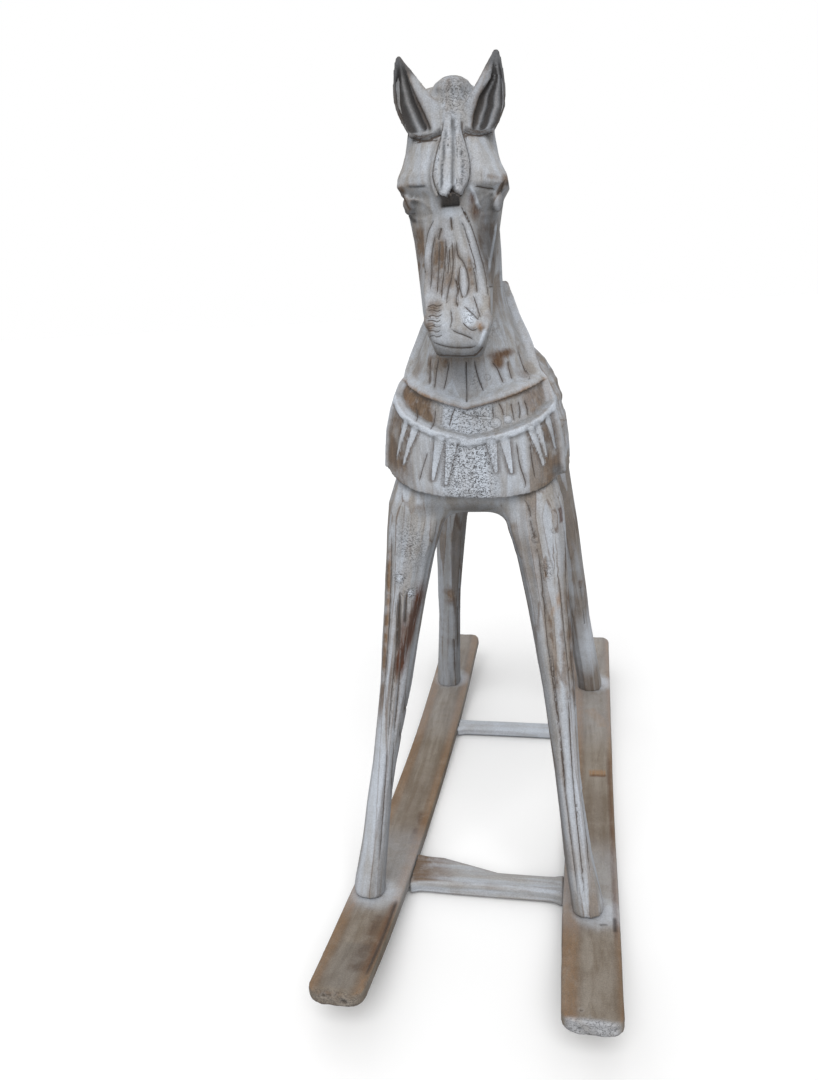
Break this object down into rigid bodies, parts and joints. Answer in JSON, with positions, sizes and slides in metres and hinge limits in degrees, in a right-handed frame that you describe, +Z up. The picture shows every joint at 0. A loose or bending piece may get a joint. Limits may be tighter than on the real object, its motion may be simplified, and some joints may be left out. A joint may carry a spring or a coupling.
{
  "type": "rocking horse",
  "caption": "Carved wooden rocking horse with breast collar and saddle cloth, standing on bent rocker boards joined by crossbars; worn whitewash.",
  "frame": {"origin": "midway between the rockers and halfway along them, on the floor they rest on", "axes": "+Z up, -Y the way the horse looks, +X the horse's own left"},
  "size_m": [0.3348, 0.966, 0.9735],
  "materials": {
    "whitewashed_wood": "thin cracked whitewash over brown wood, matt",
    "worn_board": "brown-grey wood with traces of whitewash, matt"
  },
  "bodies": {
    "root": {"horse": "whitewashed_wood", "rocker_left": "worn_board", "rocker_right": "worn_board", "crossbar_front": "whitewashed_wood", "crossbar_rear": "whitewashed_wood"}
  },
  "joints": []
}
